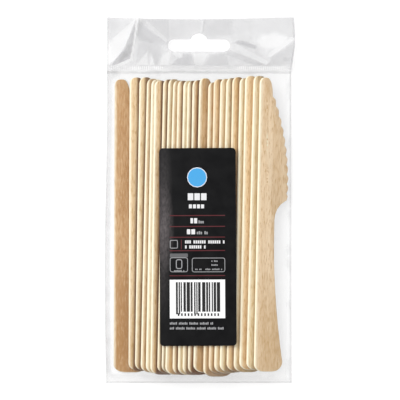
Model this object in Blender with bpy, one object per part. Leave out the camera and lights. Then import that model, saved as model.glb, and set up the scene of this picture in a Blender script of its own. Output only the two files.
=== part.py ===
# Wooden cutlery pack: flat birch knives fanned out in a clear film header bag,
# with a dark label on its front. It lies on its back, front up, with the
# hanging strip towards +Y. All sizes are in metres.

import math
from collections import namedtuple

import bmesh
import bpy
from mathutils import Matrix

MM = 0.001

# One knife: a flat plate, spine on its left, handle end at the bottom
KNIFE_LENGTH = 160.0 * MM
KNIFE_THICKNESS = 1.5 * MM
HANDLE_WIDTH = 18.6 * MM
SPINE_CORNER = (6.2 * MM, 4.2 * MM)
HANDLE_CORNER = (6.6 * MM, 5.4 * MM)
NECK_WIDTH = 11.4 * MM
NECK_FROM_END = 72.0 * MM
HANDLE_SWELL = 1.8
HEEL_FROM_END = 93.2 * MM
HEEL_SWEEP = 11.0 * MM
HEEL_SLOPE = 25.0
BLADE_WIDTH = 20.2 * MM
BELLY_FROM_HEEL = 9.0 * MM
HEEL_TOOTH = 3.9 * MM
TEETH = 10
TOOTH_PITCH = 5.31 * MM
TOOTH_DEPTH = 0.95 * MM
TOOTH_CREST = 0.62
SHOULDER_WIDTH = 8.6 * MM
TIP_FLAT = 4.7 * MM
TIP_CORNER = (2.8 * MM, 3.6 * MM)

# How the knives lie: each rests on its left neighbour with its spine raised
FAN_CLEARANCE = 0.2 * MM
FAN_YAW = 1.1
LEAN_RISE = 1.9
SETTLED_FROM = 5
STEEPEST_LEAN = 50.0

# One row a knife: step of its spine from the last, slide towards the tip, turn in degrees
FAN = (
    (0.0 * MM, 0.1 * MM, 0.9),
    (8.1 * MM, 1.0 * MM, 0.9),
    (4.4 * MM, 1.1 * MM, 0.2),
    (3.6 * MM, 0.3 * MM, -0.2),
    (2.6 * MM, -0.2 * MM, 0.0),
    (2.1 * MM, -0.8 * MM, 0.3),
    (4.2 * MM, -0.2 * MM, -0.1),
    (2.6 * MM, 0.0 * MM, -0.3),
    (2.3 * MM, -0.7 * MM, -0.6),
    (3.2 * MM, -0.9 * MM, 0.1),
    (3.0 * MM, -0.9 * MM, 0.0),
    (2.4 * MM, -0.9 * MM, 0.1),
    (2.8 * MM, -0.6 * MM, 0.2),
    (3.3 * MM, 0.5 * MM, -0.1),
    (6.0 * MM, -1.8 * MM, 0.1),
    (-0.8 * MM, -1.8 * MM, 0.1),
    (2.9 * MM, -0.1 * MM, 0.1),
    (3.3 * MM, 0.2 * MM, -0.2),
    (3.1 * MM, 0.6 * MM, -0.3),
    (3.5 * MM, 1.1 * MM, -0.1),
    (3.9 * MM, 0.6 * MM, -0.1),
    (3.0 * MM, 1.8 * MM, -0.1),
    (4.8 * MM, 1.8 * MM, -0.4),
    (-0.6 * MM, 1.8 * MM, -0.4),
    (3.7 * MM, 0.9 * MM, -0.1),
)

# The film bag: a pouch, a ribbed weld across it and a hanging strip above
FILM = 0.12 * MM
FILM_GAP = 0.10 * MM
FILM_CLEARANCE = 0.30 * MM
ROOM_LEFT = 3.9 * MM
ROOM_RIGHT = 1.9 * MM
STRIP_OVERHANG = 2.2 * MM
ROOM_FOOT = 3.7 * MM
ROOM_HEAD = 2.9 * MM
WELD_HEIGHT = 2.6 * MM
STRIP_HEIGHT = 26.6 * MM
FOOT_LIFT = 6.0 * MM
WELD_LIFT = 6.0 * MM
SIDE_LIFT = 1.6 * MM
STRIP_END_LIFT = 0.4 * MM
COLUMN_SPACING = 6.0 * MM
STRIP_ROWS = 9
POUCH_ROWS = 7

# How far each side is drawn in, as (share of the bag's length from the foot, distance)
LEFT_DRAW = ((0.0, 0.8 * MM), (0.2, 0.0), (0.38, 0.0), (0.6, 0.9 * MM), (0.75, 1.4 * MM), (1.0, 1.3 * MM))
RIGHT_DRAW = ((0.0, 2.0 * MM), (0.3, 2.2 * MM), (0.85, 2.2 * MM), (0.93, 0.0), (1.0, 0.7 * MM))

# Creases of the hanging strip: both ends as (from the middle, from the weld), height, half width
CREASES = (
    ((-34.4 * MM, 27.0 * MM), (-37.9 * MM, 4.5 * MM), 2.6 * MM, 7.0 * MM),
    ((-34.4 * MM, 27.0 * MM), (-18.0 * MM, 12.5 * MM), 1.5 * MM, 6.0 * MM),
    ((51.0 * MM, 12.5 * MM), (38.0 * MM, 5.5 * MM), 1.8 * MM, 6.5 * MM),
    ((17.0 * MM, 11.0 * MM), (35.0 * MM, 1.5 * MM), 1.1 * MM, 5.0 * MM),
    ((-26.0 * MM, 2.0 * MM), (-19.0 * MM, 6.0 * MM), 0.9 * MM, 4.5 * MM),
    ((-1.7 * MM, 2.0 * MM), (-0.6 * MM, 7.0 * MM), 0.9 * MM, 4.5 * MM),
)

# Euro slot in the hanging strip
SLOT_LENGTH = 33.7 * MM
SLOT_HEIGHT = 6.6 * MM
SLOT_FROM_TOP = 15.4 * MM
SLOT_SIDE = -0.6 * MM
HUMP_RADIUS = 4.8 * MM
HUMP_RISE = 1.75 * MM
CUTTER_DEPTH = 24.0 * MM

# Label on the front film, stuck on a little askew
LABEL_WIDTH = 41.6 * MM
LABEL_LENGTH = 107.4 * MM
LABEL_THICKNESS = 0.15 * MM
LABEL_CORNER = 2.0 * MM
LABEL_FROM_FOOT = 20.5 * MM
LABEL_SIDE = -1.15 * MM
LABEL_TURN = 0.3
LABEL_CLEARANCE = 0.25 * MM
LABEL_CELL_ACROSS = 3.0 * MM
LABEL_CELL_ALONG = 27.0 * MM

# Colours: the darker first knife, the others in turn, the film and the label
DARK_BIRCH = (0.58, 0.38, 0.22)
PALE_BIRCH = ((0.76, 0.59, 0.40), (0.68, 0.50, 0.31), (0.72, 0.55, 0.35))
FILM_TINT = (0.90, 0.91, 0.92)
FILM_ALPHA = 0.22
LABEL_BLACK = (0.013, 0.013, 0.015)

# Derived places
TEETH_START = HEEL_FROM_END + HEEL_TOOTH
BLADE_END = TEETH_START + TEETH * TOOTH_PITCH
BELLY_PLACE = HEEL_FROM_END + BELLY_FROM_HEEL
FAN_SLIDES = [row[1] for row in FAN]
POUCH_LENGTH = ROOM_FOOT + KNIFE_LENGTH + max(FAN_SLIDES) - min(FAN_SLIDES) + ROOM_HEAD
BAG_LENGTH = POUCH_LENGTH + WELD_HEIGHT + STRIP_HEIGHT
FOOT_Y = -BAG_LENGTH / 2
WELD_Y = FOOT_Y + POUCH_LENGTH
STRIP_Y = WELD_Y + WELD_HEIGHT
TOP_Y = BAG_LENGTH / 2
FAN_Y = FOOT_Y + ROOM_FOOT - min(FAN_SLIDES) + KNIFE_LENGTH / 2
FAN_FOOT_Y = FOOT_Y + ROOM_FOOT - FILM_CLEARANCE
FAN_HEAD_Y = WELD_Y - ROOM_HEAD + FILM_CLEARANCE

Knife = namedtuple("Knife", "spine slide turn lean height reach")


def clear_scene():
    for old in list(bpy.data.objects):
        bpy.data.objects.remove(old, do_unlink=True)


def make_material(name, colour, roughness, alpha=1.0):
    material = bpy.data.materials.new(name)
    material.use_nodes = True
    shader = material.node_tree.nodes["Principled BSDF"]
    shader.inputs["Base Color"].default_value = (*colour, 1.0)
    shader.inputs["Roughness"].default_value = roughness
    shader.inputs["Metallic"].default_value = 0.0
    shader.inputs["Alpha"].default_value = alpha
    return material


def add_object(name, mesh, material=None):
    item = bpy.data.objects.new(name, mesh)
    bpy.context.scene.collection.objects.link(item)
    if material is not None:
        if not mesh.materials:
            mesh.materials.append(None)
        item.material_slots[0].link = "OBJECT"
        item.material_slots[0].material = material
    return item


def quarter(centre, radii, start, steps):
    """Points of a quarter ellipse, anticlockwise from the start angle in degrees."""
    points = []
    for step in range(steps + 1):
        angle = math.radians(start + 90.0 * step / steps)
        points.append((centre[0] + radii[0] * math.cos(angle), centre[1] + radii[1] * math.sin(angle)))
    return points


def blend(table, place):
    """Straight steps through a short table of (place, value)."""
    for (place_a, value_a), (place_b, value_b) in zip(table, table[1:]):
        if place <= place_b:
            return value_a + (value_b - value_a) * max(0.0, place - place_a) / (place_b - place_a)
    return table[-1][1]


# The knife's outline


def handle_side():
    """The handle's side, narrowing from its round corner to the neck."""
    steps = 7
    points = []
    for step in range(1, steps + 1):
        share = 1.0 - step / steps
        width = NECK_WIDTH + (HANDLE_WIDTH - NECK_WIDTH) * share**HANDLE_SWELL
        points.append((width, NECK_FROM_END - (NECK_FROM_END - HANDLE_CORNER[1]) * share))
    return points


def heel_side(heel):
    """The hollow sweep from the neck out to the blade's heel."""
    steps = 4
    slope = math.radians(HEEL_SLOPE)
    centre_x = NECK_WIDTH + HEEL_SWEEP
    end_x = centre_x - HEEL_SWEEP * math.sin(slope)
    end_y = heel[1] - (heel[0] - end_x) * math.tan(slope)
    centre_y = end_y - HEEL_SWEEP * math.cos(slope)
    points = []
    for step in range(steps + 1):
        angle = math.pi - (math.pi / 2 - slope) * step / steps
        points.append((centre_x + HEEL_SWEEP * math.cos(angle), centre_y + HEEL_SWEEP * math.sin(angle)))
    return points


def belly_point(place, inset):
    """A point of the bellied cutting edge, set in by some distance across the edge."""
    bend = (BLADE_WIDTH - SHOULDER_WIDTH - TOOTH_DEPTH) / (BLADE_END - BELLY_PLACE) ** 2
    width = BLADE_WIDTH - bend * (place - BELLY_PLACE) ** 2
    across = 2 * bend * (place - BELLY_PLACE)
    size = math.hypot(1.0, across)
    return (width - inset / size, place - inset * across / size)


def tooth_points(start, pitch):
    """One tooth from its valley nearer the heel: a rise, its crest past the middle, and the next valley."""
    rise = belly_point(start + pitch * TOOTH_CREST / 2, TOOTH_DEPTH / 4)
    crest = belly_point(start + pitch * TOOTH_CREST, 0.0)
    valley = belly_point(start + pitch, TOOTH_DEPTH)
    return [rise, crest, valley]


def teeth_side():
    """Scalloped teeth between sharp valleys, with a short one at the heel."""
    points = [belly_point(HEEL_FROM_END, TOOTH_DEPTH / 2)]
    points += tooth_points(HEEL_FROM_END, HEEL_TOOTH)[1:]
    for tooth in range(TEETH):
        points += tooth_points(TEETH_START + tooth * TOOTH_PITCH, TOOTH_PITCH)
    return points


def knife_outline():
    teeth = teeth_side()
    shoulder = teeth[-1]
    tip_radii = (shoulder[0] - TIP_FLAT, KNIFE_LENGTH - shoulder[1])
    return (
        quarter(SPINE_CORNER, SPINE_CORNER, 180.0, 4)
        + quarter((HANDLE_WIDTH - HANDLE_CORNER[0], HANDLE_CORNER[1]), HANDLE_CORNER, 270.0, 4)
        + handle_side()
        + heel_side(teeth[0])
        + teeth
        + quarter((TIP_FLAT, shoulder[1]), tip_radii, 0.0, 5)[1:]
        + quarter((TIP_CORNER[0], KNIFE_LENGTH - TIP_CORNER[1]), TIP_CORNER, 90.0, 3)
    )


def knife_mesh():
    """One knife in its own frame: spine on x = 0, its middle at y = 0, underside on z = 0."""
    shape = bmesh.new()
    corners = [shape.verts.new((x, y - KNIFE_LENGTH / 2, 0.0)) for x, y in knife_outline()]
    underside = shape.faces.new(corners)
    top = bmesh.ops.extrude_face_region(shape, geom=[underside])["geom"]
    raised = [item for item in top if isinstance(item, bmesh.types.BMVert)]
    bmesh.ops.translate(shape, verts=raised, vec=(0.0, 0.0, KNIFE_THICKNESS))
    bmesh.ops.recalc_face_normals(shape, faces=shape.faces)
    mesh = bpy.data.meshes.new("knife")
    shape.to_mesh(mesh)
    shape.free()
    return mesh


# How the fan settles, worked out in its cross-section


def packed_lean():
    """Lean at which knives lie flat against each other at the fan's usual step."""
    steps = [row[0] for row in FAN[SETTLED_FROM:]]
    step = sum(steps) / len(steps)
    lean = math.asin(min((KNIFE_THICKNESS + FAN_CLEARANCE) / step, 1.0))
    return min(lean, math.radians(STEEPEST_LEAN))


def lean_of(index):
    """The first knife lies flat, and the next ones rise to the packed lean."""
    return packed_lean() * (1.0 - math.exp(-index / LEAN_RISE))


def settle_fan():
    """Every knife rests on the film or on those before it, whichever is higher."""
    knives = []
    spine = 0.0
    for index, (step, slide, turn) in enumerate(FAN):
        spine += step
        lean = lean_of(index)
        reach = KNIFE_LENGTH / 2 * abs(math.sin(math.radians(turn)))
        right = spine + (BLADE_WIDTH + reach) * math.cos(lean)
        left = spine - reach * math.cos(lean)
        height = FILM + FILM_CLEARANCE + (BLADE_WIDTH + reach) * math.sin(lean)
        for other in knives:
            top = other.height + KNIFE_THICKNESS / math.cos(other.lean)
            over_left = max(left, other.spine - other.reach + KNIFE_THICKNESS * math.sin(other.lean))
            over_right = other.spine + (BLADE_WIDTH + other.reach) * math.cos(other.lean)
            over_right = min(right, over_right + KNIFE_THICKNESS * math.sin(other.lean))
            if over_left > over_right:
                continue
            for place in (over_left, over_right):
                support = top - (place - other.spine) * math.tan(other.lean)
                support += FAN_CLEARANCE / math.cos(lean)
                height = max(height, support + (place - spine) * math.tan(lean))
        knives.append(Knife(spine, slide, turn, lean, height, reach))
    return knives


def fan_corners(knives):
    """The corners of every knife's cross-section, as (x, z)."""
    corners = []
    for knife in knives:
        for along in (-knife.reach, BLADE_WIDTH + knife.reach):
            for up in (0.0, KNIFE_THICKNESS):
                x = knife.spine + along * math.cos(knife.lean) + up * math.sin(knife.lean)
                z = knife.height - along * math.sin(knife.lean) + up * math.cos(knife.lean)
                corners.append((x, z))
    return corners


def upper_hull(points):
    """The tight line over a set of points, from left to right."""
    hull = []
    for point in sorted(points):
        while len(hull) > 1:
            (ax, az), (bx, bz) = hull[-2], hull[-1]
            if (bx - ax) * (point[1] - az) < (bz - az) * (point[0] - ax):
                break
            hull.pop()
        hull.append(point)
    return hull


# The film bag


def fan_sway(y):
    """How far the turned fan lies to the right at this place."""
    return math.tan(math.radians(FAN_YAW)) * (y - FAN_Y)


class Bag:
    """The bag's measures that follow from how the fan lies."""

    def __init__(self, knives):
        corners = fan_corners(knives)
        fan_left = min(x for x, z in corners)
        fan_right = max(x for x, z in corners)
        width = ROOM_LEFT + fan_right - fan_left + ROOM_RIGHT + STRIP_OVERHANG
        self.left = -width / 2
        self.right = width / 2
        self.fan_x = self.left + ROOM_LEFT - fan_left
        self.columns = self.front_columns(corners, fan_left, fan_right)

    def side(self, y, right):
        share = (y - FOOT_Y) / BAG_LENGTH
        if right:
            return self.right - blend(RIGHT_DRAW, share)
        return self.left + blend(LEFT_DRAW, share)

    def front_columns(self, corners, fan_left, fan_right):
        """The front film's line over the fan, as (x, z), with the two side edges first and last."""
        places = [FAN_FOOT_Y, FAN_Y, FAN_HEAD_Y]
        left = max(self.side(y, False) - self.fan_x - fan_sway(y) for y in places)
        right = min(self.side(y, True) - self.fan_x - fan_sway(y) for y in places)
        line = upper_hull([(left, SIDE_LIFT)] + corners + [(right, SIDE_LIFT)])
        margins = [fan_left - FILM_CLEARANCE, fan_right + FILM_CLEARANCE]
        places = sorted([x for x, z in line[1:-1]] + margins)
        columns = [line[0]]
        for x in places + [right]:
            gap = x - columns[-1][0]
            pieces = max(1, round(gap / COLUMN_SPACING))
            start = columns[-1][0]
            for piece in range(1, pieces + 1):
                place = start + gap * piece / pieces
                columns.append((place, blend(line, place)))
        lifted = [(x, z + FILM_CLEARANCE) for x, z in columns[1:-1]]
        return [columns[0]] + lifted + [columns[-1]]

    def over_fan(self, x, y):
        """Height of the inside of the front film above the fan."""
        return blend(self.columns, x - self.fan_x - fan_sway(y))


def crease_height(x, y):
    """Height that the creases of the hanging strip add at one place."""
    total = 0.0
    for (ax, ay), (bx, by), height, width in CREASES:
        run = ((bx - ax) ** 2 + (by - ay) ** 2) or 1.0
        share = ((x - ax) * (bx - ax) + (y - STRIP_Y - ay) * (by - ay)) / run
        share = min(1.0, max(0.0, share))
        away = math.hypot(x - ax - share * (bx - ax), y - STRIP_Y - ay - share * (by - ay))
        total = max(total, height * max(0.0, 1.0 - away / width))
    return total


def bag_rows():
    """Rows across the bag, as (y, how full it is there, height of its closed film)."""
    rows = []
    for share in (0.0, 0.3, 0.65):
        y = FOOT_Y + (FAN_FOOT_Y - FOOT_Y) * share
        rows.append((y, math.sin(math.pi / 2 * share), FOOT_LIFT))
    for row in range(POUCH_ROWS):
        y = FAN_FOOT_Y + (FAN_HEAD_Y - FAN_FOOT_Y) * row / (POUCH_ROWS - 1)
        rows.append((y, 1.0, FOOT_LIFT))
    for share in (0.35, 0.7, 1.0):
        y = FAN_HEAD_Y + (WELD_Y - FAN_HEAD_Y) * share
        rows.append((y, 1.0 - share**1.5, WELD_LIFT))
    for row in range(STRIP_ROWS + 1):
        share = row / STRIP_ROWS
        lift = WELD_LIFT + (STRIP_END_LIFT - WELD_LIFT) * share
        rows.append((STRIP_Y + STRIP_HEIGHT * share, 0.0, lift))
    return rows


def film_surfaces(bag):
    """Four grids of points: outside and inside of the front, outside and inside of the back."""
    grids = {"front_out": [], "front_in": [], "back_out": [], "back_in": []}
    last = len(bag.columns) - 1
    for row, (y, full, lift) in enumerate(bag_rows()):
        points = {name: [] for name in grids}
        left = bag.side(y, False)
        right = bag.side(y, True)
        for column, (place, height) in enumerate(bag.columns):
            is_side = column in (0, last)
            even = left + (right - left) * column / last
            x = even if is_side else even + (place + bag.fan_x + fan_sway(y) - even) * full
            closed = lift + (crease_height(x, y) if y >= STRIP_Y else 0.0)
            front = SIDE_LIFT + FILM_GAP / 2 if is_side else height
            back = SIDE_LIFT - FILM_GAP / 2 if is_side else FILM
            front = closed + FILM_GAP / 2 + (front - closed - FILM_GAP / 2) * full
            back = closed - FILM_GAP / 2 + (back - closed + FILM_GAP / 2) * full
            inset_x = FILM if column == 0 else -FILM if column == last else 0.0
            inset_y = FILM if row == 0 else 0.0
            points["front_out"].append((x, y, front + FILM))
            points["front_in"].append((x + inset_x, y + inset_y, front))
            points["back_out"].append((x, y, back - FILM))
            points["back_in"].append((x + inset_x, y + inset_y, back))
        for name, grid in grids.items():
            grid.append(points[name])
    return grids


def bag_mesh(bag):
    """Closed skin of the film: outside, inside, folded sides, welded foot and the rim of the mouth."""
    shape = bmesh.new()
    grids = {}
    for name, grid in film_surfaces(bag).items():
        grids[name] = [[shape.verts.new(point) for point in row] for row in grid]
    for grid in grids.values():
        for low, high in zip(grid, grid[1:]):
            for k in range(len(low) - 1):
                shape.faces.new((low[k], low[k + 1], high[k + 1], high[k]))
    for layer in ("out", "in"):
        front = grids["front_" + layer]
        back = grids["back_" + layer]
        for k in range(len(front) - 1):
            for side in (0, -1):
                shape.faces.new((front[k][side], front[k + 1][side], back[k + 1][side], back[k][side]))
        for k in range(len(front[0]) - 1):
            shape.faces.new((front[0][k], front[0][k + 1], back[0][k + 1], back[0][k]))
    mouths = [grids["front_" + layer][-1] + grids["back_" + layer][-1][::-1] for layer in ("out", "in")]
    for k in range(len(mouths[0])):
        after = (k + 1) % len(mouths[0])
        shape.faces.new((mouths[0][k], mouths[0][after], mouths[1][after], mouths[1][k]))
    bmesh.ops.recalc_face_normals(shape, faces=shape.faces)
    mesh = bpy.data.meshes.new("film_bag")
    shape.to_mesh(mesh)
    shape.free()
    return mesh


def slot_outline():
    """Euro slot: a slot with round ends and a round hump in the middle of its upper side."""
    radius = SLOT_HEIGHT / 2
    reach = SLOT_LENGTH / 2 - radius
    points = []
    for step in range(9):
        angle = math.radians(-90.0 + 180.0 * step / 8)
        points.append((reach + radius * math.cos(angle), radius * math.sin(angle)))
    base = math.asin((radius - HUMP_RISE) / HUMP_RADIUS)
    for step in range(9):
        angle = base + (math.pi - 2 * base) * step / 8
        points.append((HUMP_RADIUS * math.cos(angle), HUMP_RISE + HUMP_RADIUS * math.sin(angle)))
    for step in range(9):
        angle = math.radians(90.0 + 180.0 * step / 8)
        points.append((-reach + radius * math.cos(angle), radius * math.sin(angle)))
    return points


def slot_cutter():
    shape = bmesh.new()
    low = -CUTTER_DEPTH / 4
    corners = [shape.verts.new((SLOT_SIDE + x, TOP_Y - SLOT_FROM_TOP + y, low)) for x, y in slot_outline()]
    top = bmesh.ops.extrude_face_region(shape, geom=[shape.faces.new(corners)])["geom"]
    raised = [item for item in top if isinstance(item, bmesh.types.BMVert)]
    bmesh.ops.translate(shape, verts=raised, vec=(0.0, 0.0, CUTTER_DEPTH))
    bmesh.ops.recalc_face_normals(shape, faces=shape.faces)
    mesh = bpy.data.meshes.new("hang_slot_cutter")
    shape.to_mesh(mesh)
    shape.free()
    cutter = add_object("hang_slot_cutter", mesh)
    cutter.hide_render = True
    cutter.display_type = "WIRE"
    return cutter


# The label


def label_mesh(bag):
    """A sheet with round corners that follows the outside of the front film."""
    centre_y = FOOT_Y + LABEL_FROM_FOOT + LABEL_LENGTH / 2
    reach_x = LABEL_WIDTH / 2 - LABEL_CORNER
    reach_y = LABEL_LENGTH / 2 - LABEL_CORNER
    round_corner = (LABEL_CORNER, LABEL_CORNER)
    outline = []
    for turn, (side_x, side_y) in enumerate(((1, 1), (-1, 1), (-1, -1), (1, -1))):
        centre = (LABEL_SIDE + side_x * reach_x, centre_y + side_y * reach_y)
        outline += quarter(centre, round_corner, 90.0 * turn, 3)
    shape = bmesh.new()
    shape.faces.new([shape.verts.new((x, y, 0.0)) for x, y in outline])
    cuts = [((1.0, 0.0, 0.0), LABEL_SIDE, LABEL_WIDTH, LABEL_CELL_ACROSS)]
    cuts.append(((0.0, 1.0, 0.0), centre_y, LABEL_LENGTH, LABEL_CELL_ALONG))
    for normal, middle, length, cell in cuts:
        pieces = round(length / cell)
        for piece in range(1, pieces):
            place = middle + length * (piece / pieces - 0.5)
            everything = shape.verts[:] + shape.edges[:] + shape.faces[:]
            point = tuple(place * part for part in normal)
            bmesh.ops.bisect_plane(shape, geom=everything, plane_co=point, plane_no=normal)
    askew = Matrix.Rotation(math.radians(LABEL_TURN), 3, "Z")
    bmesh.ops.rotate(shape, verts=shape.verts, cent=(LABEL_SIDE, centre_y, 0.0), matrix=askew)
    for vert in shape.verts:
        vert.co.z = bag.over_fan(vert.co.x, vert.co.y) + FILM + LABEL_CLEARANCE
    mesh = bpy.data.meshes.new("label")
    shape.to_mesh(mesh)
    shape.free()
    return mesh


# Putting it together


def build_knives(knives, bag):
    """The knives hang on one turned empty, and each is moved up again by what the turn lowers it."""
    fan = bpy.data.objects.new("fan", None)
    fan.location = (bag.fan_x, FAN_Y, 0.0)
    fan.rotation_euler = (0.0, 0.0, -math.radians(FAN_YAW))
    bpy.context.scene.collection.objects.link(fan)
    drop = math.tan(math.radians(FAN_YAW))
    mesh = knife_mesh()
    for index, knife in enumerate(knives):
        tone = PALE_BIRCH[index % len(PALE_BIRCH)] if index else DARK_BIRCH
        name = f"knife_{index + 1:02d}"
        item = add_object(name, mesh, make_material(f"birch_{index + 1:02d}", tone, 0.65))
        item.parent = fan
        item.location = (knife.spine, knife.slide + knife.spine * drop, knife.height)
        item.rotation_mode = "ZYX"
        item.rotation_euler = (0.0, knife.lean, math.radians(knife.turn))
    return fan


def build_bag(bag):
    film = make_material("clear_film", FILM_TINT, 0.12, alpha=FILM_ALPHA)
    item = add_object("film_bag", bag_mesh(bag), film)
    cut = item.modifiers.new("hang_slot", "BOOLEAN")
    cut.operation = "DIFFERENCE"
    cut.solver = "EXACT"
    cut.object = slot_cutter()
    return item


def build_label(bag):
    ink = make_material("label_black", LABEL_BLACK, 0.35)
    item = add_object("label", label_mesh(bag), ink)
    sheet = item.modifiers.new("sheet", "SOLIDIFY")
    sheet.thickness = LABEL_THICKNESS
    sheet.offset = 1.0
    return item


def main():
    clear_scene()
    knives = settle_fan()
    bag = Bag(knives)
    build_knives(knives, bag)
    build_bag(bag)
    build_label(bag)


main()
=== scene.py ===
import math

import bmesh
import bpy
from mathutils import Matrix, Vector, noise
from mathutils.bvhtree import BVHTree


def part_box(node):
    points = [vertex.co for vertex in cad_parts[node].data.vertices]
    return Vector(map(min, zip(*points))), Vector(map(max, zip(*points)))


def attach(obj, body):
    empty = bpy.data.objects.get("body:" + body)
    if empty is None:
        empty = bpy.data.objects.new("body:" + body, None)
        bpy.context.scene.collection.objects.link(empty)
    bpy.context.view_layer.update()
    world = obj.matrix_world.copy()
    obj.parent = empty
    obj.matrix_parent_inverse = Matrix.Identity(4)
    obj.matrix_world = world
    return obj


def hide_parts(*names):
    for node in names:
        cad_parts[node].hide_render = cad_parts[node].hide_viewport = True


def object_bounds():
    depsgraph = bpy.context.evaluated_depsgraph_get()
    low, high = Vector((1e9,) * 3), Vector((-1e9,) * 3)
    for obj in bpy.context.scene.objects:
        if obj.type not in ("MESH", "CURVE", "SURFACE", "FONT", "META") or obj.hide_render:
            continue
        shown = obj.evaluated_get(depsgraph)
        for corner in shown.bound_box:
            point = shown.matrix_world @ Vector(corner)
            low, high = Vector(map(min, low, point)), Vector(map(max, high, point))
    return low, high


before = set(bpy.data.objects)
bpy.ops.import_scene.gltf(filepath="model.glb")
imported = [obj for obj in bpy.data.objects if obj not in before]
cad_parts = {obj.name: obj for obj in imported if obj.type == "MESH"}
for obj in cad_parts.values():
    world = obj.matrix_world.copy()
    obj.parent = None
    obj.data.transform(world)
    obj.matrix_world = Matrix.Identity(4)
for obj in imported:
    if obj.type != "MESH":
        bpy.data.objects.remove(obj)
cadLow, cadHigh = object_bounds()
scene = bpy.context.scene
mm = 0.001
tiny = 0.01 * mm
pixel = 0.544 * mm  # how much of the pack one of the photograph's pixels shows
photoWidth = 400
body = "root"
print("frame loaded,", len(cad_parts), "nodes")


# Selecting and finishing pieces

def pick(piece):
    if bpy.context.mode != "OBJECT":
        bpy.ops.object.mode_set(mode="OBJECT")
    bpy.ops.object.select_all(action="DESELECT")
    piece.select_set(True)
    bpy.context.view_layer.objects.active = piece


def applyAll(piece):
    pick(piece)
    for modifier in list(piece.modifiers):
        bpy.ops.object.modifier_apply(modifier=modifier.name)


def editAll():
    bpy.ops.object.mode_set(mode="EDIT")
    bpy.ops.mesh.select_all(action="SELECT")


def endEdit():
    bpy.ops.object.mode_set(mode="OBJECT")


def treeOf(node):
    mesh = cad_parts[node].data
    return BVHTree.FromPolygons([v.co for v in mesh.vertices], [p.vertices for p in mesh.polygons])


def thicken(piece, thickness):
    wall = piece.modifiers.new("wall", "SOLIDIFY")
    wall.thickness = thickness
    wall.offset = -1.0


def newPiece(name, mesh):
    piece = bpy.data.objects.new(name, mesh)
    scene.collection.objects.link(piece)
    return piece


def applyPlace(piece):
    pick(piece)
    bpy.ops.object.transform_apply(location=True, rotation=True, scale=True)


def onPack(piece, slotName, *nodes):
    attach(piece, body)
    if nodes:
        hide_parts(*nodes)


def alongTable(table, place):  # straight steps through rows of (place, value, value...)
    for before, after in zip(table, table[1:]):
        if place <= after[0]:
            share = max(0.0, (place - before[0]) / (after[0] - before[0]))
            return [a + (b - a) * share for a, b in zip(before[1:], after[1:])]
    return list(table[-1][1:])


def smoothStep(low, high, value):
    share = min(1.0, max(0.0, (value - low) / (high - low)))
    return share * share * (3.0 - 2.0 * share)


# Node helpers for the materials

def startMaterial(name, roughness):
    material = bpy.data.materials.new(name)
    material.use_nodes = True
    shader = material.node_tree.nodes["Principled BSDF"]
    shader.inputs["Roughness"].default_value = roughness
    return material, material.node_tree, shader


def addNode(tree, kind, **values):
    node = tree.nodes.new(kind)
    for key, value in values.items():
        if hasattr(node, key):
            setattr(node, key, value)
        else:
            node.inputs[key].default_value = value
    return node


def noiseNode(tree, vector, scale, detail=3.0, roughness=0.55):
    node = addNode(tree, "ShaderNodeTexNoise", Scale=scale, Detail=detail, Roughness=roughness)
    tree.links.new(vector, node.inputs["Vector"])
    return node.outputs["Fac"]


def rangeNode(tree, value, fromLow, fromHigh, toLow, toHigh):
    node = addNode(tree, "ShaderNodeMapRange", clamp=True)
    ends = (("From Min", fromLow), ("From Max", fromHigh), ("To Min", toLow), ("To Max", toHigh))
    for name, end in ends:
        node.inputs[name].default_value = end
    tree.links.new(value, node.inputs["Value"])
    return node.outputs["Result"]


def plug(tree, value, socket):  # joins a node's output, or sets a plain value
    if isinstance(value, bpy.types.NodeSocket):
        tree.links.new(value, socket)
    else:
        socket.default_value = value


def mixColour(tree, share, first, second):
    node = addNode(tree, "ShaderNodeMix", data_type="RGBA")
    for place, value in ((0, share), (6, first), (7, second)):  # the node's colour sockets
        plug(tree, value, node.inputs[place])
    return node.outputs[2]


def mathNode(tree, operation, first, second):
    node = addNode(tree, "ShaderNodeMath", operation=operation)
    plug(tree, first, node.inputs[0])
    plug(tree, second, node.inputs[1])
    return node.outputs["Value"]


def product(tree, first, second):
    return mathNode(tree, "MULTIPLY", first, second)


def objectPlace(tree):
    return addNode(tree, "ShaderNodeTexCoord").outputs["Object"]


def attributeNode(tree, name):
    return addNode(tree, "ShaderNodeAttribute", attribute_name=name).outputs["Fac"]


def addBump(tree, shader, height, look):
    bump = addNode(tree, "ShaderNodeBump", Strength=look["bumpStrength"], Distance=look["bump"])
    plug(tree, height, bump.inputs["Height"])
    plug(tree, bump.outputs["Normal"], shader.inputs["Normal"])


def stretched(tree, vector, size):
    node = addNode(tree, "ShaderNodeVectorMath", operation="MULTIPLY")
    tree.links.new(vector, node.inputs[0])
    node.inputs[1].default_value = size
    return node.outputs["Vector"]


def spotMask(tree, place, spot):  # a soft oval: its middle and its two reaches in mm, and its strength
    x, y, reachX, reachY, strength = spot
    moved = addNode(tree, "ShaderNodeVectorMath", operation="SUBTRACT")
    plug(tree, place, moved.inputs[0])
    moved.inputs[1].default_value = (x * mm, y * mm, 0)
    shrunk = stretched(tree, moved.outputs["Vector"], (1 / (reachX * mm), 1 / (reachY * mm), 0))
    away = addNode(tree, "ShaderNodeVectorMath", operation="LENGTH")
    plug(tree, shrunk, away.inputs[0])
    return rangeNode(tree, away.outputs["Value"], 1.0, 0.15, 0.0, strength)


def startGroup(name, inputs, outputs):
    group = bpy.data.node_groups.new(name, "ShaderNodeTree")
    for label, kind, value in inputs:
        socket = group.interface.new_socket(label, in_out="INPUT", socket_type=kind)
        if value is not None:
            socket.default_value = value
    for label, kind in outputs:
        group.interface.new_socket(label, in_out="OUTPUT", socket_type=kind)
    return group, group.nodes.new("NodeGroupInput"), group.nodes.new("NodeGroupOutput")


# Birch

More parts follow.
